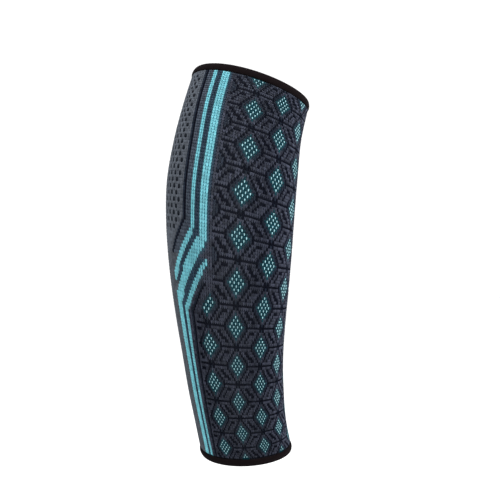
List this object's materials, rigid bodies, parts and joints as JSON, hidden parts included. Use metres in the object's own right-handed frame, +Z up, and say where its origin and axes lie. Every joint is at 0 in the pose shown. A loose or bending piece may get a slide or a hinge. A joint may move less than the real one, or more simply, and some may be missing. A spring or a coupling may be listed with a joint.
{
  "type": "leg sleeve",
  "caption": "Seamless knitted compression tube for the lower leg, shaped to the calf, with a folded dark elastic binding at the upper and lower edge.",
  "frame": {"origin": "middle of the hollow at the level where the calf is fullest, which is where the leg holds the sleeve", "axes": "+Z up the leg from ankle to knee, +X forwards from calf to shin, +Y from the side that faces the picture's camera to the hidden side"},
  "size_m": [0.1277, 0.1154, 0.3389],
  "materials": {
    "knit": "knitted nylon and elastane yarn in slate grey and black, with turquoise stripes and dots",
    "hem_elastic": "matt black elastic rib"
  },
  "bodies": {
    "root": {"knit_tube": "knit", "top_hem": "hem_elastic", "bottom_hem": "hem_elastic"}
  },
  "joints": []
}
